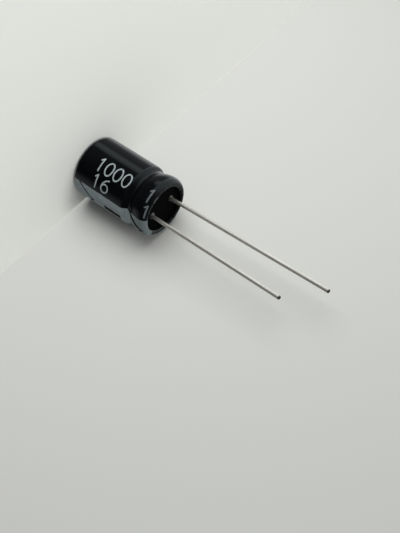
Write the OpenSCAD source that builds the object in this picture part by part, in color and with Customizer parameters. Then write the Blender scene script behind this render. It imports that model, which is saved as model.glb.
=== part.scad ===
// Radial aluminium electrolytic capacitor, standing on its closed end with the leads up.
// The origin is the middle of the closed end. The long positive lead is on the +X side.
// Millimetres throughout.

/* [Body] */
// Diameter over the sleeve
body_d = 8.1; // [7:0.05:10]
// Height from the closed end to the top of the crimped rim
body_h = 11.83; // [10:0.01:16]
// Rounding of the closed end's edge, over the sleeve
head_edge_r = 0.5; // [0.41:0.01:0.9]
// Thickness of the shrink sleeve
sleeve_t = 0.1; // [0.07:0.01:0.12]
// Wall of the drawn aluminium can
can_t = 0.28; // [0.2:0.01:0.3]
// Thickness of the can's closed end
head_t = 0.36; // [0.25:0.01:0.6]

/* [Crimp] */
// Depth of the groove that grips the seal
groove_depth = 0.52; // [0.3:0.01:0.65]
// Radius of the groove's lower lip, over the sleeve
groove_lip_r = 0.5; // [0.41:0.01:0.8]
// Radius of the groove's floor
groove_floor_r = 0.5; // [0.3:0.01:0.8]
// Radius of the long rise from the groove to the rim
rise_r = 4; // [2:0.1:6]
// How much smaller the rim's radius is than the body's
rim_drop = 0.02; // [0:0.01:0.1]
// Radius of the rim's outer shoulder, over the sleeve
rim_r = 1.04; // [0.8:0.01:1.3]
// How far the shoulder turns before the tighter curl
shoulder_roll_deg = 45; // [30:1:60]
// Radius of that curl, over the sleeve
curl_r = 0.45; // [0.43:0.01:0.6]
// How far the can's edge has turned where it ends, from upright
can_roll_deg = 125; // [100:1:150]

/* [Sleeve openings] */
// How far the sleeve reaches inwards over the curl, from the curl's middle
film_reach = 0.31; // [0.2:0.01:0.38]
// Unevenness of the shrunk edge there
ragged = 0.06; // [0.02:0.01:0.08]
// Opening over the closed end
head_opening_d = 5.8; // [4:0.1:6.9]

/* [Vent] */
// Length of each arm pair of the scored cross in the closed end
vent_len = 4.4; // [3:0.1:5.5]
// Width of the score
vent_w = 0.2; // [0.1:0.01:0.4]
// Depth of the score
vent_depth = 0.14; // [0.08:0.01:0.2]

/* [Seal] */
// How far the seal's face lies below the rim's top
seal_sink = 0.64; // [0.55:0.01:0.8]
// Height of the rubber seal
seal_h = 3.9; // [3:0.1:5]

/* [Leads] */
// Distance between the leads where they leave the seal
lead_pitch = 3.5; // [2.7:0.1:4.2]
// Diameter of the tinned wire
wire_d = 0.5; // [0.4:0.01:0.6]
// How far the positive lead reaches past the rim
positive_reach = 22.57; // [5:0.01:30]
// How far the negative lead reaches past the rim
negative_reach = 18.67; // [5:0.01:30]
// Outward lean of the positive lead in degrees
positive_lean_deg = 2.1; // [0:0.1:5]
// Inward lean of the negative lead in degrees
negative_lean_deg = 0.5; // [0:0.1:3]

/* [Tabs] */
// Diameter of the round boss that fills the seal's hole
boss_d = 0.9; // [0.85:0.05:1.45]
// How far the boss stands proud of the seal
boss_proud = 0.03; // [0:0.01:0.25]
// Thickness of the flat paddle in the winding
tab_t = 0.2; // [0.12:0.01:0.3]

/* [Winding] */
// Diameter of the hollow core
core_d = 1.2; // [0.9:0.05:1.6]
// Thickness of the etched anode foil
anode_t = 0.11; // [0.08:0.01:0.16]
// Thickness of the cathode foil
cathode_t = 0.05; // [0.04:0.01:0.1]
// Thickness of each paper separator
paper_t = 0.05; // [0.04:0.01:0.1]
// Thickness of the tape round the winding
tape_t = 0.05; // [0.03:0.01:0.1]
// How far the foils stop short of the paper's edges
foil_margin = 0.3; // [0.1:0.05:0.8]
// Room between the winding and the seal
tab_room = 0.7; // [0.5:0.05:1]

/* [Stripe] */
// Width of the negative stripe round the body
stripe_w = 3.9; // [2:0.05:5]
// Direction of the stripe's middle, where 180 is over the negative lead
stripe_dir_deg = 189; // [165:1:200]
// Height of the lower break at the stripe's edges
break_low_z = 0.95; // [0.8:0.05:2.5]
// Distance from one break to the next
break_pitch = 8; // [5:0.05:8.2]
// Gap of a break along the body
break_gap = 0.35; // [0.15:0.01:0.6]
// How far a break's point runs ahead of its ends
break_point = 2.2; // [0.5:0.05:2.5]
// Length of the minus bar
minus_len = 2.8; // [1.5:0.1:4]
// Width of the minus bar
minus_w = 0.85; // [0.3:0.05:1]
// Height of the minus bar's middle
minus_z = 6.6; // [4:0.1:8]
// Thickness of the printed ink on the sleeve
ink_t = 0.02; // [0.01:0.005:0.04]

/* [Hidden] */
$fn = 64;
over = 1;
body_r = body_d / 2;
shell_t = sleeve_t + can_t;
bore_r = body_r - shell_t;

// The side's outline is a path of points [radius, height, lean], where lean is the path's angle
// from straight up, positive when it leans towards the axis.
function inward(lean) = [-cos(lean), -sin(lean)];
function arc_point(from, r, lean0, lean) =
    from + (lean > lean0 ? r : -r) * (inward(lean0) - inward(lean));
function arc(from, r, lean0, lean1, steps) = [
    for (i = [1:steps])
        let (lean = lean0 + (lean1 - lean0) * i / steps)
        [each arc_point(from, r, lean0, lean), lean]
];
function skin(path, depth) = [for (k = path) [k[0], k[1]] + depth * inward(k[2])];
function backwards(list) = [for (i = [len(list) - 1:-1:0]) list[i]];

// The crimp, from the wall's top end over groove and rim
dip = acos(1 - groove_depth / (groove_lip_r + groove_floor_r));
climb = acos(1 - (groove_depth - rim_drop) / (groove_floor_r + rise_r));
curl_mid_r = body_r - rim_drop - rim_r + (rim_r - curl_r) * cos(shoulder_roll_deg);
rim_z = body_h - curl_r - (rim_r - curl_r) * sin(shoulder_roll_deg);
groove_z = rim_z - (groove_floor_r + rise_r) * sin(climb);
wall_top_z = groove_z - (groove_lip_r + groove_floor_r) * sin(dip);
lip_start = [body_r, wall_top_z];
floor_start = arc_point(lip_start, groove_lip_r, 0, dip);
rise_start = arc_point(floor_start, groove_floor_r, dip, -climb);
rim_start = [body_r - rim_drop, rim_z];
head_corner = concat(
    [[body_r - head_edge_r, 0, -90]],
    arc([body_r - head_edge_r, 0], head_edge_r, -90, 0, 8)
);
crimp = concat(
    [[each lip_start, 0]],
    arc(lip_start, groove_lip_r, 0, dip, 6),
    arc(floor_start, groove_floor_r, dip, -climb, 10),
    arc(rise_start, rise_r, -climb, 0, 8)
);
shoulder_steps = 6;
curl_steps = 10;
curl_step_deg = (can_roll_deg - shoulder_roll_deg) / curl_steps;
curl_start = arc_point(rim_start, rim_r, 0, shoulder_roll_deg);
function rim(steps) = concat(
    arc(rim_start, rim_r, 0, shoulder_roll_deg, shoulder_steps),
    arc(curl_start, curl_r, shoulder_roll_deg, shoulder_roll_deg + steps * curl_step_deg, steps)
);

// The seal and what passes through it
seal_top = body_h - seal_sink;
seal_bottom = seal_top - seal_h;
seal_ramp = 0.35;
boss_cap = 0.15;
boss_top = seal_top + boss_proud + boss_cap;
boss_bottom = seal_bottom - tab_room / 2;
tip_len = 0.2;

// The winding: each layer is a spiral that also steps over the tabs wound into it
layer_t = [anode_t, paper_t, cathode_t, paper_t];
layer_start = [0, anode_t, anode_t + paper_t, anode_t + paper_t + cathode_t];
wind_pitch = anode_t + cathode_t + 2 * paper_t;
wind_room = 0.08;
turns = floor((bore_r - wind_room - tape_t - tab_t - core_d / 2) / wind_pitch) - 1;
station_deg = 15;
paddle_half_deg = 15;
shoulder_deg = 45;
tab_r = (lead_pitch - core_d - tab_t) / 2;
positive_turn = round((tab_r - anode_t) / wind_pitch);
negative_turn = round((tab_r - layer_start[3]) / wind_pitch - 0.5);
positive_at_deg = 360 * positive_turn;
negative_at_deg = 360 * negative_turn + 180;
element_z = sleeve_t + head_t;
element_h = seal_bottom - tab_room - element_z;

anode_in_deg = 60;
anode_out_deg = 180;
cathode_in_deg = 90;
cathode_out_deg = 120;

function lift(off) =
    off <= paddle_half_deg ? tab_t
    : off >= shoulder_deg ? 0
    : tab_t * (1 + cos(180 * (off - paddle_half_deg) / (shoulder_deg - paddle_half_deg))) / 2;
function step_over(a, layer, tab_at, tab_layer) =
    let (lap = round((a - tab_at) / 360))
    lap < 0 || (lap == 0 && layer <= tab_layer) ? 0 : lift(abs(a - tab_at - 360 * lap));
function layer_r(a, layer) =
    core_d / 2 + wind_pitch * a / 360 + layer_start[layer]
    + step_over(a, layer, positive_at_deg, 0) + step_over(a, layer, negative_at_deg, 2);
function polar(r, a) = r * [cos(a), sin(a)];
function ribbon(layer, lift_r, t, from, to) = concat(
    [for (a = [from:station_deg:to]) polar(layer_r(a, layer) + lift_r, a)],
    [for (a = [to:-station_deg:from]) polar(layer_r(a, layer) + lift_r + t, a)]
);

// The stripe lies on the sleeve, from the closed end's edge to the rim's top
stripe_deg = stripe_w / (PI * body_d) * 360;
stripe_path = concat([for (k = head_corner) if (k[2] > -60) k], crimp, rim(curl_steps - 2));
stripe_half = stripe_w / 2 + over;
break_slope = break_point / (stripe_w / 2);

module turned(outline) {
    rotate_extrude() polygon(outline);
}

// Solid block that stands out from the axis towards the stripe's middle, drawn as seen from there
module stripe_cut() {
    rotate([0, 0, stripe_dir_deg]) rotate([90, 0, 90]) linear_extrude(height = body_d) children();
}

module stripe_break(z) {
    ends_z = z - break_slope * over;
    point_z = z + break_point;
    stripe_cut() polygon([
        [-stripe_half, ends_z], [0, point_z], [stripe_half, ends_z],
        [stripe_half, ends_z + break_gap], [0, point_z + break_gap], [-stripe_half, ends_z + break_gap]
    ]);
}

module polarity_stripe() {
    color("#9ca1a3") difference() {
        rotate([0, 0, stripe_dir_deg - stripe_deg / 2]) rotate_extrude(angle = stripe_deg)
            polygon(concat(skin(stripe_path, -ink_t), backwards(skin(stripe_path, 0))));
        for (z = [break_low_z, break_low_z + break_pitch]) stripe_break(z);
        stripe_cut() translate([-minus_w / 2, minus_z - minus_len / 2]) square([minus_w, minus_len]);
    }
}

module ragged_opening() {
    edge = [for (a = [0:7.5:352.5])
        let (r = curl_mid_r - film_reach + ragged * (0.6 * sin(3 * a + 40) + 0.4 * sin(7 * a)))
        polar(r, a)];
    translate([0, 0, seal_top]) linear_extrude(height = seal_sink + over) polygon(edge);
}

module sleeve() {
    edge = concat(crimp, rim(curl_steps + 3));
    color("#16181a") difference() {
        turned(concat(
            [[head_opening_d / 2, 0]], skin(head_corner, 0), skin(edge, 0),
            backwards(skin(edge, sleeve_t)), backwards(skin(head_corner, sleeve_t)),
            [[head_opening_d / 2, sleeve_t]]
        ));
        ragged_opening();
    }
}

module can() {
    edge = concat(crimp, rim(curl_steps));
    inner_z = sleeve_t + head_t;
    color("#c9ccce") difference() {
        turned(concat(
            [[0, sleeve_t]], skin(head_corner, sleeve_t), skin(edge, sleeve_t),
            backwards(skin(edge, shell_t)), [[bore_r, inner_z], [0, inner_z]]
        ));
        for (turn = [0, 90]) rotate(turn) translate([0, 0, sleeve_t + (vent_depth - over) / 2])
            cube([vent_len, vent_w, vent_depth + over], center = true);
    }
}

module end_seal() {
    grip = backwards(skin(concat(crimp, rim(curl_steps)), shell_t));
    ramp_r = grip[0][0] - seal_ramp;
    color("#1b1b1a") difference() {
        intersection() {
            turned(concat([[0, 0], [0, seal_top], [ramp_r, seal_top]], grip, [[bore_r, 0]]));
            translate([0, 0, seal_bottom]) cylinder(h = seal_h + over, r = body_r);
        }
        for (side = [-1, 1]) translate([side * lead_pitch / 2, 0, seal_bottom - over])
            cylinder(h = seal_h + 2 * over, d = boss_d);
    }
}

// A wire stands on its boss's flat top, where the real one is butt-welded, and leans in the leads' plane
module wire(side, reach, lean) {
    straight = reach + body_h - boss_top - tip_len;
    color("#b9bcbb") difference() {
        translate([side * lead_pitch / 2, 0, boss_top]) rotate([0, side * lean, 0]) {
            translate([0, 0, -over]) cylinder(h = straight + over, d = wire_d);
            translate([0, 0, straight]) cylinder(h = tip_len, d1 = wire_d, d2 = wire_d * 0.55);
        }
        translate([0, 0, boss_top - 2 * over]) cylinder(h = 2 * over, r = body_r);
    }
}

module positive_wire() {
    wire(1, positive_reach, positive_lean_deg);
}

module negative_wire() {
    wire(-1, negative_reach, -negative_lean_deg);
}

module tab(side, tab_at, tab_layer) {
    cap_d = boss_d * 0.72;
    paddle_from = tab_at - paddle_half_deg;
    paddle_to = tab_at + paddle_half_deg;
    color("#d3d5d6") {
        translate([0, 0, element_z + foil_margin])
            linear_extrude(height = boss_bottom + 2 * boss_cap - element_z - foil_margin)
            polygon(ribbon(tab_layer, layer_t[tab_layer], tab_t, paddle_from, paddle_to));
        translate([side * lead_pitch / 2, 0, 0]) {
            translate([0, 0, boss_bottom]) cylinder(h = boss_cap, d1 = cap_d, d2 = boss_d);
            translate([0, 0, boss_bottom + boss_cap])
                cylinder(h = boss_top - boss_bottom - 2 * boss_cap, d = boss_d);
            translate([0, 0, boss_top - boss_cap]) cylinder(h = boss_cap, d1 = boss_d, d2 = cap_d);
        }
    }
}

module positive_tab() {
    tab(1, positive_at_deg, 0);
}

module negative_tab() {
    tab(-1, negative_at_deg, 2);
}

module wound(layer, t, from, to, margin) {
    translate([0, 0, element_z + margin]) linear_extrude(height = element_h - 2 * margin)
        polygon(ribbon(layer, 0, t, from, to));
}

module anode_foil() {
    color("#8d9296") wound(0, anode_t, anode_in_deg, 360 * turns - anode_out_deg, foil_margin);
}

module inner_separator() {
    color("#d8cba6") wound(1, paper_t, 0, 360 * turns, 0);
}

module cathode_foil() {
    color("#c6cacc") wound(2, cathode_t, cathode_in_deg, 360 * turns - cathode_out_deg, foil_margin);
}

module outer_separator() {
    color("#dccfab") wound(3, paper_t, 0, 360 * turns, 0);
}

module element_tape() {
    color("#c79a3b") wound(0, tape_t, 360 * turns, 360 * (turns + 1) - station_deg, 2 * foil_margin);
}

sleeve();
polarity_stripe();
can();
end_seal();
positive_wire();
negative_wire();
positive_tab();
negative_tab();
anode_foil();
inner_separator();
cathode_foil();
outer_separator();
element_tape();
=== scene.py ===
import math
import bmesh
import bpy
import numpy as np
from mathutils import Matrix, Vector


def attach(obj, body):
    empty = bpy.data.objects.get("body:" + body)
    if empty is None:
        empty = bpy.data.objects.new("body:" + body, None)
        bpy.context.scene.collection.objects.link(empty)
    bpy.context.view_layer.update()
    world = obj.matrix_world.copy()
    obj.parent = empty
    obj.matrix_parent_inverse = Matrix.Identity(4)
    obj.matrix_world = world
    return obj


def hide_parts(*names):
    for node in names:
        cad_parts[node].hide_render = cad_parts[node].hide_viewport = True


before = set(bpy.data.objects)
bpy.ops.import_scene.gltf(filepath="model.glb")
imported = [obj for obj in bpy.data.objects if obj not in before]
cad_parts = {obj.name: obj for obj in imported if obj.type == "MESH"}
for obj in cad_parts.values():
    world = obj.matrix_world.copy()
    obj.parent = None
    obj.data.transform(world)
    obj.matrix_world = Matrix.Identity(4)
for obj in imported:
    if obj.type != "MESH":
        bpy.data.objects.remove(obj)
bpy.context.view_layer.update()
mm = 0.001


# The camera takes the photograph's view: it looks at the capacitor from its leads' end and is rolled
cameraSpot = {
    "aim": (-1.17, -5.41, 18.12),  # the point in the picture's middle, mm
    "azimuth": 116.41,
    "elevation": 22.36,
    "roll": 123.68,
    "distance": 100.0,  # mm
    "lens": 54.03,
    "sensor": 36.0,
    "clip": (0.001, 60.0),  # m
}


def direction(azimuth, elevation):
    a, e = math.radians(azimuth), math.radians(elevation)
    return Vector((math.cos(a) * math.cos(e), math.sin(a) * math.cos(e), math.sin(e)))


def placeCamera(spot):
    data = bpy.data.cameras.new("photoCamera")
    data.lens = spot["lens"]
    data.sensor_width = spot["sensor"]
    data.clip_start, data.clip_end = spot["clip"]
    back = direction(spot["azimuth"], spot["elevation"])
    turn = back.to_track_quat("Z", "Y").to_matrix().to_4x4()
    roll = Matrix.Rotation(math.radians(spot["roll"]), 4, "Z")
    camera = bpy.data.objects.new("photoCamera", data)
    bpy.context.collection.objects.link(camera)
    place = (Vector(spot["aim"]) + back * spot["distance"]) * mm
    camera.matrix_world = Matrix.Translation(place) @ turn @ roll
    bpy.context.scene.camera = camera


placeCamera(cameraSpot)
print("camera placed")


# Node trees: small helpers that add a node and wire it up
def feed(tree, socket, value):
    if isinstance(value, bpy.types.NodeSocket):
        tree.links.new(value, socket)
    else:
        socket.default_value = value


def addNode(tree, kind, inputs=None, **settings):
    node = tree.nodes.new(kind)
    for key, value in settings.items():
        setattr(node, key, value)
    for key, value in (inputs or {}).items():
        feed(tree, node.inputs[key], value)
    return node


def mathNode(tree, operation, *values):
    return addNode(tree, "ShaderNodeMath", dict(enumerate(values)), operation=operation).outputs[0]


def vectorNode(tree, operation, first, *more, **named):
    node = addNode(tree, "ShaderNodeVectorMath", {0: first, **named}, operation=operation)
    for socket, value in zip(node.inputs[1:], more):
        feed(tree, socket, value)
    return node.outputs["Value" if operation in ("LENGTH", "DOT_PRODUCT") else "Vector"]


def mapRange(tree, value, low, high, toLow=0.0, toHigh=1.0, kind="LINEAR"):
    limits = {"Value": value, "From Min": low, "From Max": high, "To Min": toLow, "To Max": toHigh}
    return addNode(tree, "ShaderNodeMapRange", limits, interpolation_type=kind).outputs["Result"]


# A tree or group with its sockets: a number's default gives its kind, other kinds are named
def makeTree(name, kind, inputs, outputs):
    tree = bpy.data.node_groups.new(name, kind)
    kinds = {float: "Float", int: "Int", tuple: "Vector"}
    for inOut, sockets in (("INPUT", inputs), ("OUTPUT", outputs)):
        for label, given in sockets.items():
            socketKind = "NodeSocket" + kinds.get(type(given), str(given))
            socket = tree.interface.new_socket(name=label, in_out=inOut, socket_type=socketKind)
            if type(given) in kinds:
                socket.default_value = given
    return tree, tree.nodes.new("NodeGroupInput").outputs, tree.nodes.new("NodeGroupOutput").inputs


# Materials. One shared group gives every finish its grain: a mask and a matching bump
noiseSpan = (0.3, 0.7)  # where nearly all of the noise lies


def grainGroup():
    tree, given, result = makeTree("surfaceGrain", "ShaderNodeTree", {
        "Scale": 1000.0, "Stretch": (1.0, 1.0, 1.0), "Detail": 4.0, "Bump": 0.2, "Depth": 0.00001,
    }, {"Mask": "Float", "Normal": "Vector"})
    place = addNode(tree, "ShaderNodeTexCoord")
    stretched = vectorNode(tree, "MULTIPLY", place.outputs["Object"], given["Stretch"])
    noise = addNode(tree, "ShaderNodeTexNoise", {
        "Vector": stretched, "Scale": given["Scale"], "Detail": given["Detail"]})
    mask = mapRange(tree, noise.outputs["Fac"], *noiseSpan)
    bump = addNode(tree, "ShaderNodeBump", {
        "Height": mask, "Strength": given["Bump"], "Distance": given["Depth"]})
    feed(tree, result["Mask"], mask)
    feed(tree, result["Normal"], bump.outputs["Normal"])
    return tree


# A mask that rises along an axis, for painted light and shade
def rampGroup():
    tree, given, result = makeTree("paintedLightAlong", "ShaderNodeTree", {
        "Axis": (0.0, 0.0, 1.0), "From": 0.0, "To": 0.01}, {"Mask": "Float"})
    place = addNode(tree, "ShaderNodeTexCoord")
    along = vectorNode(tree, "DOT_PRODUCT", place.outputs["Object"], given["Axis"])
    feed(tree, result["Mask"], mapRange(tree, along, given["From"], given["To"]))
    return tree


# A mask that rises with the distance from the capacitor's foot
def fadeGroup():
    tree, given, result = makeTree("distanceFade", "ShaderNodeTree", {
        "From": 0.07, "To": 0.1}, {"Mask": "Float"})
    place = addNode(tree, "ShaderNodeTexCoord")
    away = vectorNode(tree, "LENGTH", place.outputs["Object"])
    feed(tree, result["Mask"], mapRange(tree, away, given["From"], given["To"], kind="SMOOTHSTEP"))
    return tree


surfaceGrain, paintedLightAlong, distanceFade = grainGroup(), rampGroup(), fadeGroup()


def placeGroup(tree, group, inputs):
    return addNode(tree, "ShaderNodeGroup", inputs, node_tree=group).outputs


def mixColours(tree, mask, first, second):
    first, second = [(*c, 1.0) if isinstance(c, tuple) else c for c in (first, second)]
    mix = addNode(tree, "ShaderNodeMix", {"Factor": mask, 6: first, 7: second}, data_type="RGBA")
    return mix.outputs[2]  # inputs 6 and 7 and output 2 are this node's colours


# A grained finish runs from its dark to its light colour, and some take painted light or shade along a ramp, to
# a last colour
def finish(name, look):
    material = bpy.data.materials.new(name)
    material.use_nodes = True
    tree = material.node_tree
    grain = placeGroup(tree, surfaceGrain, {
        key.capitalize(): look[key] for key in ("scale", "stretch", "bump", "depth") if key in look})
    colour = mixColours(tree, grain["Mask"], look["dark"], look["light"])
    # painted light and shade: the colour turns towards a last one along an axis
    if "paintedLightRamp" in look:
        axis, low, high = look["paintedLightRamp"]
        paintedLightRamp = placeGroup(tree, paintedLightAlong, {"Axis": axis, "From": low * mm, "To": high * mm})
        colour = mixColours(tree, paintedLightRamp["Mask"], colour, look["paintedLightEnd"])
    metallic = look.get("metallic", 0.0)
    if isinstance(metallic, tuple):  # a thin dull layer takes some of the metal's shine
        metallic = mapRange(tree, grain["Mask"], 0.0, 1.0, *metallic)
    for socket, value in (
        ("Base Color", colour),
        ("Roughness", mapRange(tree, grain["Mask"], 0.0, 1.0, *look["rough"])),
        ("Normal", grain["Normal"]),
        ("Metallic", metallic),
        ("Specular IOR Level", look.get("specular", 0.5)),
        ("Specular Tint", (*look.get("tint", (1.0, 1.0, 1.0)), 1.0)),
    ):
        feed(tree, tree.nodes["Principled BSDF"].inputs[socket], value)
    return material


looks = {
    "sleeveFilm": {
        "dark": (0.0016, 0.0018, 0.0022), "light": (0.0032, 0.0036, 0.0042), "rough": (0.12, 0.18),
        "scale": 900.0, "stretch": (1, 1, 0.35), "bump": 0.1, "depth": 0.00002,
        "specular": 0.36, "tint": (0.84, 0.96, 1.0),
    },
    # one ink: the stripe's copy is lighter, painted light on its side away from the lamps
    "stripeInk": {
        "dark": (0.48, 0.56, 0.585), "light": (0.56, 0.645, 0.67), "rough": (0.34, 0.46),
        "paintedLightEnd": (0.3, 0.355, 0.37), "paintedLightRamp": ((0, 0, 1), 9.3, 11.2),  # painted shade: the ink turns darker over the rim, where less light falls
        "scale": 2600.0, "bump": 0.12, "specular": 0.4,
    },
    # the same ink in a darker copy: painted shade on the lit side
    "digitInk": {
        "dark": (0.31, 0.355, 0.365), "light": (0.41, 0.465, 0.475), "rough": (0.35, 0.5),
        # painted shade: the digits' ink turns darker over the rim, where less light falls
        "paintedLightEnd": (0.12, 0.14, 0.15), "paintedLightRamp": ((0, 0, 1), 9.0, 10.6),
        "scale": 3200.0, "bump": 0.1, "specular": 0.35,
    },
    "sealRubber": {
        "dark": (0.0012, 0.0012, 0.0013), "light": (0.004, 0.004, 0.0042), "rough": (0.65, 0.85),
        "scale": 5200.0, "bump": 0.5, "depth": 0.00002, "specular": 0.02,
    },
    "tinnedWire": {
        "dark": (0.6, 0.585, 0.53), "light": (0.84, 0.825, 0.775), "rough": (0.18, 0.28),
        "scale": 2200.0, "stretch": (1, 1, 0.12), "bump": 0.25, "metallic": (0.66, 0.86),
    },
    "cutWire": {
        "dark": (0.07, 0.065, 0.055), "light": (0.19, 0.18, 0.155), "rough": (0.45, 0.65),
        "scale": 4200.0, "bump": 0.4, "metallic": 0.9,
    },
    "drawnAluminium": {
        "dark": (0.62, 0.63, 0.64), "light": (0.8, 0.81, 0.82), "rough": (0.28, 0.42),
        "scale": 1800.0, "stretch": (1, 1, 0.15), "bump": 0.2, "metallic": 1.0,
    },
    "tabAluminium": {
        "dark": (0.1, 0.1, 0.095), "light": (0.26, 0.26, 0.25), "rough": (0.42, 0.6),
        "scale": 3000.0, "bump": 0.3, "depth": 0.00002, "metallic": 1.0,
    },
    "etchedFoil": {
        "dark": (0.3, 0.31, 0.32), "light": (0.46, 0.47, 0.48), "rough": (0.5, 0.7),
        "scale": 6000.0, "bump": 0.4, "metallic": 1.0,
    },
    "plainFoil": {
        "dark": (0.62, 0.63, 0.64), "light": (0.76, 0.77, 0.78), "rough": (0.3, 0.42),
        "scale": 3000.0, "stretch": (1, 1, 0.2), "bump": 0.15, "metallic": 1.0,
    },
    "soakedPaper": {
        "dark": (0.55, 0.47, 0.3), "light": (0.72, 0.65, 0.48), "rough": (0.45, 0.7),
        "scale": 2400.0, "stretch": (1, 1, 0.5), "bump": 0.3,
    },
    "windingTape": {
        "dark": (0.42, 0.22, 0.04), "light": (0.56, 0.32, 0.08), "rough": (0.2, 0.3),
        "scale": 900.0, "stretch": (1, 1, 0.3), "bump": 0.1,
    },
}
finishes = {name: finish(name, look) for name, look in looks.items()}
print("materials made:", len(finishes))


def dressNode(node, finishName):
    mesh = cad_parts[node].data
    if not mesh.materials:
        mesh.materials.append(None)
    for i in range(len(mesh.materials)):
        mesh.materials[i] = finishes[finishName]


for node, finishName in (
    ("can", "drawnAluminium"), ("end_seal", "sealRubber"),
    ("positive_tab", "tabAluminium"), ("negative_tab", "tabAluminium"),
    ("anode_foil", "etchedFoil"), ("cathode_foil", "plainFoil"),
    ("inner_separator", "soakedPaper"), ("outer_separator", "soakedPaper"), ("element_tape", "windingTape"),
):
    dressNode(node, finishName)
print("inner parts dressed")


def addPiece(name, mesh, slot, *nodes):
    piece = bpy.data.objects.new(name, mesh)
    bpy.context.collection.objects.link(piece)
    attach(piece, "root")
    if nodes:
        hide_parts(*nodes)
    return piece


# The shrink sleeve: its outline is a path of arcs over head, wall, groove and rim, as on the real part
sleeveShape = {
    # sizes in mm, angles in degrees
    "bodyRadius": 4.05, "height": 11.83, "headEdge": 0.5, "film": 0.1,
    "grooveDepth": 0.52, "lipRadius": 0.5, "floorRadius": 0.5, "riseRadius": 4.0,
    "rimDrop": 0.02, "rimRadius": 1.04, "shoulderRoll": 45.0, "curlRadius": 0.45,
    "filmRoll": 138.0, "ragged": 9.0,  # where the film ends on the curl, and how much that varies
    "headOpening": 2.9, "segments": 360,
    "rows": {"head": 8, "edge": 14, "wall": 30, "lip": 14, "groove": 18, "rise": 22, "rim": 14, "curl": 16},
    "pleats": 0.016,  # height of the shrink pleats round both openings
    "pleatCount": 23, "pleatMean": 0.6, "headShare": 0.5, "headShift": 7,
    "lipRows": (8, 18.0), "headRows": 12.0, "fadePower": 1.5,  # rows over which the pleats fade in
    "slow": 0.006,  # height of the film's slow unevenness, and its step from row to row
    "slowStep": 0.11, "slowRows": (20, 10.0),
    # waves round the sleeve, each with its share, its count in a turn and its phase in radians
    "endWaves": ((0.6, 3, math.radians(40)), (0.4, 7, 0.0)),
    "pleatDrift": ((1.3, 4, 0.0),), "pleatSwell": ((0.4, 5, 1.0),),
    "slowWaves": ((1.0, 2, 0.7), (0.6, 5, 2.1)),
}


def waves(angles, terms):
    return sum(share * np.sin(count * angles + phase) for share, count, phase in terms)


def inward(lean):
    return np.array([-math.cos(lean), -math.sin(lean)])


def arcRows(start, radius, lean0, lean1, steps):
    side = radius if lean1 > lean0 else -radius
    rows = []
    for i in range(1, steps + 1):
        lean = lean0 + (lean1 - lean0) * i / steps
        spot = start + side * (inward(lean0) - inward(lean))
        rows.append((spot[0], spot[1], lean))
    return rows


# Rows of radius, height and lean from the head's opening over groove and rim to the film's curl
def sidePath(shape):
    quarter = math.pi / 2
    edge, wall, counts = shape["headEdge"], shape["bodyRadius"], shape["rows"]
    lipR, floorR, riseR = shape["lipRadius"], shape["floorRadius"], shape["riseRadius"]
    dip = math.acos(1 - shape["grooveDepth"] / (lipR + floorR))
    climb = math.acos(1 - (shape["grooveDepth"] - shape["rimDrop"]) / (floorR + riseR))
    turn = math.radians(shape["shoulderRoll"])
    rimR, curlR = shape["rimRadius"], shape["curlRadius"]
    rimZ = shape["height"] - curlR - (rimR - curlR) * math.sin(turn)
    grooveZ = rimZ - (floorR + riseR) * math.sin(climb)
    wallTop = grooveZ - (lipR + floorR) * math.sin(dip)
    rows = [(r, 0.0, -quarter) for r in np.linspace(shape["headOpening"], wall - edge, counts["head"])]
    rows += arcRows(np.array([wall - edge, 0.0]), edge, -quarter, 0.0, counts["edge"])
    rows += [(wall, z, 0.0) for z in np.linspace(edge, wallTop, counts["wall"])[1:]]
    for radius, lean0, lean1, name in (
        (lipR, 0.0, dip, "lip"), (floorR, dip, -climb, "groove"),
        (riseR, -climb, 0.0, "rise"), (rimR, 0.0, turn, "rim"),
    ):
        rows += arcRows(np.array(rows[-1][:2]), radius, lean0, lean1, counts[name])
    return rows


# How far pleats and slow waves lift the film, for each row and angle
def filmLift(shape, angles, rowCount, pathCount):
    i = np.arange(rowCount)
    drift, swell = waves(angles, shape["pleatDrift"]), waves(angles, shape["pleatSwell"])
    pleat = np.sin(shape["pleatCount"] * angles + drift) * (shape["pleatMean"] + swell)
    before, length = shape["lipRows"]
    nearLip = np.clip((i - pathCount + before) / length, 0, 1) ** shape["fadePower"]
    nearHead = np.clip(1 - i / shape["headRows"], 0, 1) ** shape["fadePower"]
    headPleat = (np.roll(pleat, shape["headShift"]) + 1) * shape["headShare"]
    lift = shape["pleats"] * (nearLip[:, None] * pleat - nearHead[:, None] * headPleat)
    clear, length = shape["slowRows"]
    onWall = np.clip((i - clear) / length, 0, 1) * np.clip((pathCount - clear - i) / length, 0, 1)
    slow = waves(angles, shape["slowWaves"])
    return lift + shape["slow"] * onWall[:, None] * slow * np.sin(i * shape["slowStep"])[:, None]


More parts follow.
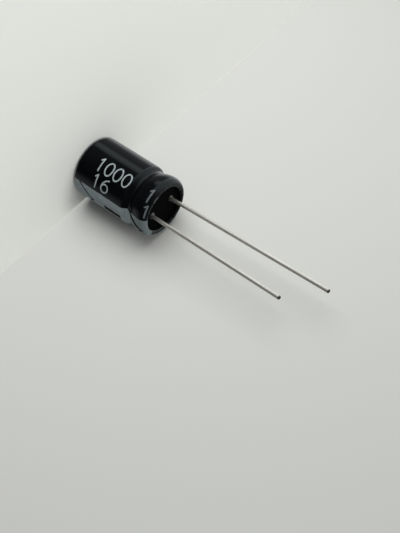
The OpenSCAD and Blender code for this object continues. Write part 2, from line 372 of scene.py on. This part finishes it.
def sleeveMesh(shape):
    segments, curl = shape["segments"], shape["curlRadius"]
    angles = np.arange(segments) * 2 * math.pi / segments
    path = sidePath(shape)
    turn = math.radians(shape["shoulderRoll"])
    curlMid = np.array(path[-1][:2]) + curl * inward(turn)
    endLean = np.radians(shape["filmRoll"] + shape["ragged"] * waves(angles, shape["endWaves"]))

    # each row holds radius, height and lean for every angle
    rows = [[np.full_like(angles, v) for v in row] for row in path]
    for i in range(1, shape["rows"]["curl"] + 1):
        lean = turn + (endLean - turn) * i / shape["rows"]["curl"]
        rows.append([curlMid[0] + curl * np.cos(lean), curlMid[1] + curl * np.sin(lean), lean])
    rows = np.array(rows)
    normal = np.stack([-np.cos(rows[:, 2]), -np.sin(rows[:, 2])], axis=1)
    tangent = np.stack([-np.sin(rows[:, 2]), np.cos(rows[:, 2])], axis=1)
    lift = filmLift(shape, angles, len(rows), len(path))
    outer, inner = [rows[:, :2] + (depth - lift)[:, None, :] * normal for depth in (0.0, shape["film"])]

    def edgeRound(index, way):
        middle = (outer[index] + inner[index]) / 2
        half = shape["film"] / 2
        return [middle + half * (-math.cos(t) * normal[index] + way * math.sin(t) * tangent[index])
                for t in (math.pi / 4, math.pi / 2, math.pi * 3 / 4)]

    loop = np.array(list(outer) + edgeRound(-1, 1) + list(inner[::-1]) + edgeRound(0, -1)[::-1])
    x = loop[:, 0] * np.cos(angles) * mm
    y = loop[:, 0] * np.sin(angles) * mm
    z = np.maximum(loop[:, 1], 0.0) * mm
    points = np.stack([x, y, z], axis=-1).reshape(-1, 3)
    rings = len(loop)
    faces = []
    for ring in range(rings):
        below, above = ring * segments, (ring + 1) % rings * segments
        for s in range(segments):
            t = (s + 1) % segments
            faces.append((below + s, below + t, above + t, above + s))
    mesh = bpy.data.meshes.new("sleeveFilm")
    mesh.from_pydata(points.tolist(), [], faces)
    mesh.shade_smooth()
    return mesh


def turnOutwards(mesh):
    form = bmesh.new()
    form.from_mesh(mesh)
    bmesh.ops.recalc_face_normals(form, faces=form.faces)
    form.to_mesh(mesh)
    form.free()


filmMesh = sleeveMesh(sleeveShape)
turnOutwards(filmMesh)
filmMesh.materials.append(finishes["sleeveFilm"])
sleeve = addPiece("sleeveFilm", filmMesh, "sleeve_film", "sleeve")
print("sleeve made:", len(filmMesh.polygons), "faces")


# Pieces from trees: the tree runs on a holder, whose evaluated geometry becomes a plain mesh
def runTree(name, data, tree, values):
    holder = bpy.data.objects.new(name + "Holder", data)
    bpy.context.collection.objects.link(holder)
    modifier = holder.modifiers.new(tree.name, "NODES")
    modifier.node_group = tree
    for item in tree.interface.items_tree:
        if item.item_type == "SOCKET" and item.in_out == "INPUT" and item.name in values:
            modifier[item.identifier] = values[item.name]
    bpy.context.view_layer.update()
    evaluated = holder.evaluated_get(bpy.context.evaluated_depsgraph_get())
    mesh = bpy.data.meshes.new_from_object(evaluated)
    mesh.name = name
    holder.modifiers.clear()
    bpy.data.objects.remove(holder)
    return mesh


# Print: flat strokes and sheets, with height along X and arc along Y, are laid on the sleeve
printLay = {"rimHeight": 10.96, "rimRadius": 0.8}  # mm, where the print starts to turn over the rim


# Strokes become ribbons with round ends, and every point then drops onto the sleeve
def printTree():
    tree, given, result = makeTree("layPrint", "GeometryNodeTree", {
        "Geometry": "Geometry", "Sleeve": "Object", "Stroke": 0.0002, "Radius": 0.004,
        "Rim height": 0.011, "Rim radius": 0.00085, "Lift": 0.00001, "Ink": "Material",
        "End corners": 20, "End lift": 0.0000015, "Ray length": 0.01,
    }, {"Geometry": "Geometry"})

    # ribbons along the strokes
    half = mathNode(tree, "MULTIPLY", given["Stroke"], 0.5)
    left = addNode(tree, "ShaderNodeCombineXYZ", {"X": mathNode(tree, "MULTIPLY", half, -1.0)})
    right = addNode(tree, "ShaderNodeCombineXYZ", {"X": half})
    profile = addNode(tree, "GeometryNodeCurvePrimitiveLine", {
        "Start": left.outputs[0], "End": right.outputs[0]})
    upright = addNode(tree, "GeometryNodeSetCurveNormal", {"Curve": given["Geometry"]}, mode="Z_UP")
    ribbon = addNode(tree, "GeometryNodeCurveToMesh", {
        "Curve": upright.outputs["Curve"], "Profile Curve": profile.outputs["Curve"]})

    # round ends, a hair higher than the ribbons
    ends = addNode(tree, "GeometryNodeCurveEndpointSelection")
    disc = addNode(tree, "GeometryNodeMeshCircle", {
        "Vertices": given["End corners"], "Radius": half}, fill_type="TRIANGLE_FAN")
    spots = addNode(tree, "GeometryNodeInstanceOnPoints", {
        "Points": given["Geometry"], "Selection": ends.outputs[0], "Instance": disc.outputs["Mesh"]})
    discs = addNode(tree, "GeometryNodeRealizeInstances", {"Geometry": spots.outputs["Instances"]})
    hair = addNode(tree, "ShaderNodeCombineXYZ", {"Z": given["End lift"]})
    raised = addNode(tree, "GeometryNodeSetPosition", {
        "Geometry": discs.outputs["Geometry"], "Offset": hair.outputs[0]})

    # sheets come in as meshes and go round the ribbons
    sheets = addNode(tree, "GeometryNodeSeparateComponents", {"Geometry": given["Geometry"]})
    joined = addNode(tree, "GeometryNodeJoinGeometry")
    for flat in (ribbon.outputs["Mesh"], raised.outputs["Geometry"], sheets.outputs["Mesh"]):
        feed(tree, joined.inputs["Geometry"], flat)

    # each point looks at the sleeve from outside: level up to the rim, then turning over it
    here = addNode(tree, "GeometryNodeInputPosition")
    split = addNode(tree, "ShaderNodeSeparateXYZ", {0: here.outputs[0]}).outputs
    angle = mathNode(tree, "DIVIDE", split["Y"], given["Radius"])
    level = mathNode(tree, "MINIMUM", split["X"], given["Rim height"])
    past = mathNode(tree, "SUBTRACT", split["X"], level)
    turn = mathNode(tree, "DIVIDE", past, given["Rim radius"])

    def aroundAxis(radius, height):
        return addNode(tree, "ShaderNodeCombineXYZ", {
            "X": mathNode(tree, "MULTIPLY", radius, mathNode(tree, "COSINE", angle)),
            "Y": mathNode(tree, "MULTIPLY", radius, mathNode(tree, "SINE", angle)),
            "Z": height}).outputs[0]

    outwards = aroundAxis(mathNode(tree, "COSINE", turn), mathNode(tree, "SINE", turn))
    pivot = aroundAxis(mathNode(tree, "SUBTRACT", given["Radius"], given["Rim radius"]), level)
    far = vectorNode(tree, "SCALE", outwards, Scale=given["Radius"])
    target = addNode(tree, "GeometryNodeObjectInfo", {"Object": given["Sleeve"]})
    ray = addNode(tree, "GeometryNodeRaycast", {
        "Target Geometry": target.outputs["Geometry"],
        "Source Position": vectorNode(tree, "ADD", pivot, far),
        "Ray Direction": vectorNode(tree, "SCALE", outwards, Scale=-1.0),
        "Ray Length": given["Ray length"],
    }, data_type="FLOAT_VECTOR").outputs
    rise = mathNode(tree, "ADD", given["Lift"], split["Z"])
    offset = vectorNode(tree, "SCALE", ray["Hit Normal"], Scale=rise)
    landed = vectorNode(tree, "ADD", ray["Hit Position"], offset)
    laid = addNode(tree, "GeometryNodeSetPosition", {
        "Geometry": joined.outputs["Geometry"], "Position": landed})

    real = addNode(tree, "GeometryNodeRealizeInstances", {"Geometry": laid.outputs["Geometry"]})
    smooth = addNode(tree, "GeometryNodeSetShadeSmooth", {"Geometry": real.outputs["Geometry"]})
    inked = addNode(tree, "GeometryNodeSetMaterial", {
        "Geometry": smooth.outputs["Geometry"], "Material": given["Ink"]})
    feed(tree, result["Geometry"], inked.outputs["Geometry"])
    return tree


layPrint = printTree()


def layOnSleeve(name, data, ink, look):
    values = {
        "Sleeve": sleeve, "Radius": sleeveShape["bodyRadius"] * mm, "Ink": finishes[ink],
        "Rim height": printLay["rimHeight"] * mm, "Rim radius": printLay["rimRadius"] * mm,
        "Lift": look["lift"] * mm,
    }
    if "stroke" in look:
        values["Stroke"] = look["stroke"] * mm
    return runTree(name, data, layPrint, values)


# Digits: plain round strokes on a unit-high cell, repeated along the sleeve as its print is
digitPrint = {
    "height": 1.72, "width": 1.06, "stroke": 0.19, "lift": 0.012,
    "step": 0.04,  # points lie no further apart than this, mm
    "lines": (
        {"digits": "1000", "start": 2.65, "base": 125.0, "pitch": 1.42},
        {"digits": "16", "start": 3.05, "base": 154.5, "pitch": 1.5},
    ),
    "repeat": 8.0,  # the print comes again at this distance along the sleeve
    "from": 0.25, "to": 12.2,  # where the print is cut at the head and at the rim
}


def ellipse(cx, cy, rx, ry, start, end, steps):
    turns = [math.radians(start + (end - start) * i / steps) for i in range(steps + 1)]
    return [(cx + rx * math.cos(t), cy + ry * math.sin(t)) for t in turns]


glyphStrokes = {
    "0": [ellipse(0.5, 0.5, 0.5, 0.5, 90, 450, 40)],
    "1": [[(0.25, 0.8), (0.55, 1.0), (0.55, 0.0)]],
    "6": [ellipse(1.0, 0.33, 1.0, 0.67, 100, 180, 14) + ellipse(0.5, 0.31, 0.5, 0.31, 180, 540, 32)[1:]],
}


def refine(points, step):
    fine = [points[0]]
    for a, b in zip(points, points[1:]):
        count = max(1, math.ceil(math.dist(a, b) / step))
        fine += [(a[0] + (b[0] - a[0]) * i / count, a[1] + (b[1] - a[1]) * i / count)
                 for i in range(1, count + 1)]
    return fine


# The stretches of a stroke that lie between the print's two cuts
def cutRuns(points, low, high):
    runs = [[]]
    for spot in points:
        if low < spot[0] < high:
            runs[-1].append(spot)
        else:
            runs.append([])
    return [run for run in runs if len(run) > 1]


def digitCurves(look):
    data = bpy.data.curves.new("digitStrokes", "CURVE")
    data.dimensions = "3D"

    def draw(stroke, left, top):
        flat = [(left + x * look["width"], top - y * look["height"]) for x, y in stroke]
        for run in cutRuns(refine(flat, look["step"]), look["from"], look["to"]):
            spline = data.splines.new("POLY")
            spline.points.add(len(run) - 1)
            for point, (h, v) in zip(spline.points, run):
                point.co = (h * mm, v * mm, 0, 1)

    for line in look["lines"]:
        base = math.radians(line["base"]) * sleeveShape["bodyRadius"]
        for turn in (-1, 0, 1):
            for k, digit in enumerate(line["digits"]):
                left = line["start"] + turn * look["repeat"] + k * line["pitch"]
                for stroke in glyphStrokes[digit]:
                    draw(stroke, left, base)
    return data


digitMesh = layOnSleeve("digitPrint", digitCurves(digitPrint), "digitInk", digitPrint)
addPiece("digitPrint", digitMesh, "stripe_ink")
print("digits laid:", len(digitMesh.polygons), "faces")


# The negative stripe: a fine sheet cut along its arrow-shaped breaks and round the minus bar
stripePrint = {
    "direction": 189.0, "width": 3.9, "from": 0.2, "to": 12.5, "lift": 0.01,
    "breaks": ((0.95, 0.4), (8.8, 0.7)),  # where each starts at the stripe's sides, and how wide it is
    "point": 2.2,  # how far the arrow shape reaches
    "barLength": 2.8, "barWidth": 0.85, "barHeight": 6.6,
    "cell": 0.14, "tolerance": 1e-7,
}


def stripeSheet(stripe):
    low, high, half = stripe["from"], stripe["to"], stripe["width"] / 2
    slope = stripe["point"] / half
    middle = math.radians(stripe["direction"]) * sleeveShape["bodyRadius"]
    columns = int(stripe["width"] / stripe["cell"])
    rows = int((high - low) / stripe["cell"])
    sheet = bmesh.new()
    grid = [[sheet.verts.new((low + (high - low) * r / rows, -half + stripe["width"] * c / columns, 0))
             for c in range(columns + 1)] for r in range(rows + 1)]
    for r in range(rows):
        for c in range(columns):
            sheet.faces.new((grid[r][c], grid[r + 1][c], grid[r + 1][c + 1], grid[r][c + 1]))

    def cut(point, normal):
        everything = sheet.verts[:] + sheet.edges[:] + sheet.faces[:]
        bmesh.ops.bisect_plane(sheet, geom=everything, dist=stripe["tolerance"],
                               plane_co=(*point, 0), plane_no=(*normal, 0))

    cut((0, 0), (0, 1))
    barLow = stripe["barHeight"] - stripe["barLength"] / 2
    barHigh = barLow + stripe["barLength"]
    barSide = stripe["barWidth"] / 2
    for edge in (barLow, barHigh):
        cut((edge, 0), (1, 0))
    for edge in (-barSide, barSide):
        cut((0, edge), (0, 1))
    for start, gap in stripe["breaks"]:
        for tip in (start + stripe["point"], start + stripe["point"] + gap):
            cut((tip, 0), (1, slope))
            cut((tip, 0), (1, -slope))

    def bare(x, y):
        inBar = barLow < x < barHigh and abs(y) < barSide
        past = x - stripe["point"] + slope * abs(y)
        return inBar or any(0 < past - start < gap for start, gap in stripe["breaks"])

    gone = [f for f in sheet.faces if bare(*f.calc_center_median()[:2])]
    bmesh.ops.delete(sheet, geom=gone, context="FACES")
    for v in sheet.verts:
        v.co = Vector((v.co.x * mm, (v.co.y + middle) * mm, 0))
    mesh = bpy.data.meshes.new("stripeSheet")
    sheet.to_mesh(mesh)
    sheet.free()
    return mesh


stripeMesh = layOnSleeve("stripePrint", stripeSheet(stripePrint), "stripeInk", stripePrint)
addPiece("stripePrint", stripeMesh, "stripe_ink", "polarity_stripe")
print("stripe laid:", len(stripeMesh.polygons), "faces")


# The leads: each is swept along its own straight run, with a cut tip
leadShape = {
    "pitch": 3.5, "diameter": 0.5, "foot": 11.35, "rim": 11.83,
    "tip": 0.16, "tipShare": 0.75,  # over how much of its end a lead narrows, and to what share
    "cut": 0.2,  # how far from its end the lead is dark
    "step": 0.05, "corners": 40,
    "positive": {"reach": 22.57, "lean": 2.1},
    "negative": {"reach": 18.67, "lean": 0.5},
}


def leadTree():
    tree, given, result = makeTree("sweepLead", "GeometryNodeTree", {
        "Geometry": "Geometry", "Start": (0.0, 0.0, 0.0), "End": (0.0, 0.0, 0.02),
        "Diameter": 0.0005, "Tip": 0.0002, "Tip share": 0.55, "Cut height": 0.03,
        "Step": 0.00005, "Corners": 40, "Finish": "Material", "Cut finish": "Material",
    }, {"Geometry": "Geometry"})
    run = addNode(tree, "GeometryNodeCurvePrimitiveLine", {"Start": given["Start"], "End": given["End"]})
    points = addNode(tree, "GeometryNodeResampleCurve", {
        "Curve": run.outputs["Curve"], "Length": given["Step"]}, mode="LENGTH")

    # the radius shrinks towards the cut
    along = addNode(tree, "GeometryNodeSplineParameter")
    whole = addNode(tree, "GeometryNodeSplineLength")
    left = mathNode(tree, "SUBTRACT", whole.outputs["Length"], along.outputs["Length"])
    share = mapRange(tree, left, 0.0, given["Tip"], given["Tip share"], 1.0, kind="SMOOTHSTEP")
    width = addNode(tree, "GeometryNodeSetCurveRadius", {"Curve": points.outputs["Curve"], "Radius": share})
    ring = addNode(tree, "GeometryNodeCurvePrimitiveCircle", {
        "Resolution": given["Corners"], "Radius": mathNode(tree, "MULTIPLY", given["Diameter"], 0.5)})
    sweep = addNode(tree, "GeometryNodeCurveToMesh", {
        "Curve": width.outputs["Curve"], "Profile Curve": ring.outputs["Curve"],
        "Scale": addNode(tree, "GeometryNodeInputRadius").outputs[0], "Fill Caps": True})

    real = addNode(tree, "GeometryNodeRealizeInstances", {"Geometry": sweep.outputs["Mesh"]})
    smooth = addNode(tree, "GeometryNodeSetShadeSmooth", {"Geometry": real.outputs["Geometry"]})
    tinned = addNode(tree, "GeometryNodeSetMaterial", {
        "Geometry": smooth.outputs["Geometry"], "Material": given["Finish"]})
    here = addNode(tree, "GeometryNodeInputPosition")
    height = addNode(tree, "ShaderNodeSeparateXYZ", {0: here.outputs[0]}).outputs["Z"]
    cut = addNode(tree, "GeometryNodeSetMaterial", {
        "Geometry": tinned.outputs["Geometry"], "Material": given["Cut finish"],
        "Selection": mathNode(tree, "GREATER_THAN", height, given["Cut height"])})
    feed(tree, result["Geometry"], cut.outputs["Geometry"])
    return tree


sweepLead = leadTree()


def makeLead(name, side, shape, which, node):
    lean = math.radians(which["lean"])
    way = Vector((math.sin(lean), 0, math.cos(lean)))
    start = Vector((side * shape["pitch"] / 2, 0, shape["foot"]))
    end = start + way * (which["reach"] + shape["rim"] - shape["foot"])
    mesh = runTree(name, bpy.data.meshes.new(name), sweepLead, {
        "Start": tuple(start * mm), "End": tuple(end * mm), "Diameter": shape["diameter"] * mm,
        "Tip": shape["tip"] * mm, "Tip share": shape["tipShare"], "Cut height": (end.z - shape["cut"]) * mm,
        "Step": shape["step"] * mm, "Corners": shape["corners"],
        "Finish": finishes["tinnedWire"], "Cut finish": finishes["cutWire"],
    })
    addPiece(name, mesh, "tinned_wire", node)


makeLead("positiveLead", 1, leadShape, leadShape["positive"], "positive_wire")
makeLead("negativeLead", -1, leadShape, leadShape["negative"], "negative_wire")
print("leads swept")


# Floor, backdrop and light
paperLook = {"scale": 9.0, "rough": (0.8, 0.9), "bump": 0.0, "specular": 0.0}
stageLook = {
    "size": 12.0,  # m
    "gap": 0.03,  # mm between the sleeve and the backdrop, which takes the table's soft shadow
    # each fades into the plain background between two distances from the capacitor's foot, in metres
    "floor": {
        "dark": (0.814, 0.823, 0.79), "light": (0.832, 0.842, 0.81), "fade": (0.072, 0.098),
        "paintedLightEnd": (0.961, 0.972, 0.934), "paintedLightRamp": ((0, 1, 0), -4.0, 26.0),  # painted light: the paper is less bright at the backdrop and brightens away from it
    },
    "backdrop": {"dark": (0.672, 0.681, 0.652), "light": (0.692, 0.701, 0.672), "fade": (0.12, 0.2)},
}
lampLook = {
    "colour": (1.0, 1.0, 0.985), "aim": 8.0,  # the height that both lamps point at, mm
    "window": {"way": (0.31, 1.0, -0.24), "distance": 0.11, "size": 0.125, "power": 0.107},
    "ceiling": {"way": (0.12, 0.2, 1.0), "distance": 0.5, "size": 0.16, "power": 0.78},
}
# Each side has a way to it and the span of the cosine to it over which its value comes in
worldLook = {
    "colour": (0.98, 0.99, 1.0), "background": 0.67,
    "near": 0.48, "far": 0.24, "nearSide": (0.77, 0.64, 0.0), "nearSpan": (-0.4, 0.8),  # near the window and far
    "back": -0.1, "backSide": (0, -1, 0), "backSpan": (0.0, 0.7),  # behind the backdrop, met by gloss only
    "low": 0.08, "upSide": (0, 0, 1), "lowSpan": (-0.45, -0.35),  # share left below the floor, for gloss
    # gloss sees more light than there is, by this share, and less of it on the shaded side
    "gloss": 0.9, "shade": -0.82, "shadeSide": (-0.98, 0.18, 0.6), "shadeSpan": (-0.2, 0.7),
    "glows": (  # soft patches below, as the film in the photograph shows
        {"azimuth": 49.0, "elevation": -29.6, "inner": 3.0, "outer": 14.0, "strength": 0.4},
        {"azimuth": 12.0, "elevation": -30.0, "inner": 15.0, "outer": 40.0, "strength": 0.08},
        {"azimuth": -42.0, "elevation": -27.0, "inner": 14.0, "outer": 40.0, "strength": 0.34},
        {"azimuth": 205.0, "elevation": -28.0, "inner": 6.0, "outer": 30.0, "strength": 0.45},
    ),
}


def makePlane(name, corners, look):
    mesh = bpy.data.meshes.new(name)
    mesh.from_pydata(corners, [], [(0, 1, 2, 3)])
    plane = bpy.data.objects.new(name, mesh)
    bpy.context.collection.objects.link(plane)
    material = finish(name + "Paper", {**paperLook, **look})
    mesh.materials.append(material)
    plane.visible_shadow = False
    plane.visible_glossy = False

    # far away and seen from behind, it lets everything through
    tree = material.node_tree
    near, far = look["fade"]
    fade = placeGroup(tree, distanceFade, {"From": near, "To": far})
    behind = addNode(tree, "ShaderNodeNewGeometry")
    clear = addNode(tree, "ShaderNodeBsdfTransparent")
    either = addNode(tree, "ShaderNodeMixShader", {
        0: mathNode(tree, "MAXIMUM", behind.outputs["Backfacing"], fade["Mask"]),
        1: tree.nodes["Principled BSDF"].outputs["BSDF"],
        2: clear.outputs["BSDF"]})
    feed(tree, tree.nodes["Material Output"].inputs["Surface"], either.outputs["Shader"])
    return plane


def makeStage(look):
    half = look["size"] / 2
    back = -(sleeveShape["bodyRadius"] + look["gap"]) * mm
    floor = makePlane("floor", [
        (-half, -half, 0), (half, -half, 0), (half, half, 0), (-half, half, 0)], look["floor"])
    floor.visible_diffuse = False
    makePlane("backdrop", [
        (half, back, -half), (-half, back, -half), (-half, back, half), (half, back, half)], look["backdrop"])


def makeLamp(name, look):
    lamp = look[name]
    data = bpy.data.lights.new(name, "AREA")
    data.shape = "DISK"
    data.size = lamp["size"]
    data.energy = lamp["power"]
    data.color = look["colour"]
    way = Vector(lamp["way"]).normalized()
    place = Matrix.Translation(way * lamp["distance"] + Vector((0, 0, look["aim"] * mm)))
    light = bpy.data.objects.new(name, data)
    light.matrix_world = place @ way.to_track_quat("Z", "Y").to_matrix().to_4x4()
    light.visible_glossy = False
    bpy.context.collection.objects.link(light)


def makeWorld(look):
    world = bpy.data.worlds.new("studio")
    world.use_nodes = True
    tree = world.node_tree
    place = addNode(tree, "ShaderNodeTexCoord")
    seen = addNode(tree, "ShaderNodeLightPath")

    def towards(way, span, toLow, toHigh):
        cosine = vectorNode(tree, "DOT_PRODUCT", place.outputs["Generated"], Vector(way).normalized())
        return mapRange(tree, cosine, *span, toLow, toHigh, kind="SMOOTHSTEP")

    level = towards(look["nearSide"], look["nearSpan"], look["far"], look["near"])
    level = mathNode(tree, "ADD", level, towards(look["backSide"], look["backSpan"], 0.0, look["back"]))
    level = mathNode(tree, "MULTIPLY", level, towards(look["upSide"], look["lowSpan"], look["low"], 1.0))
    for glow in look["glows"]:
        span = [math.cos(math.radians(glow[edge])) for edge in ("outer", "inner")]
        patch = towards(direction(glow["azimuth"], glow["elevation"]), span, 0.0, glow["strength"])
        level = mathNode(tree, "ADD", level, patch)
    gloss = towards(look["shadeSide"], look["shadeSpan"], look["gloss"], look["shade"])
    shine = mathNode(tree, "MULTIPLY_ADD", seen.outputs["Is Glossy Ray"], gloss, 1.0)
    level = mathNode(tree, "MULTIPLY", level, shine)
    plain = addNode(tree, "ShaderNodeMix", {  # inputs 2 and 3 are this node's two numbers
        0: seen.outputs["Is Camera Ray"], 2: level, 3: look["background"]})
    sky = tree.nodes["Background"]
    feed(tree, sky.inputs["Color"], (*look["colour"], 1.0))
    feed(tree, sky.inputs["Strength"], plain.outputs[0])
    bpy.context.scene.world = world


makeStage(stageLook)
makeLamp("window", lampLook)
makeLamp("ceiling", lampLook)
makeWorld(worldLook)
bpy.context.scene.view_settings.view_transform = "Standard"
print("floor and light set")
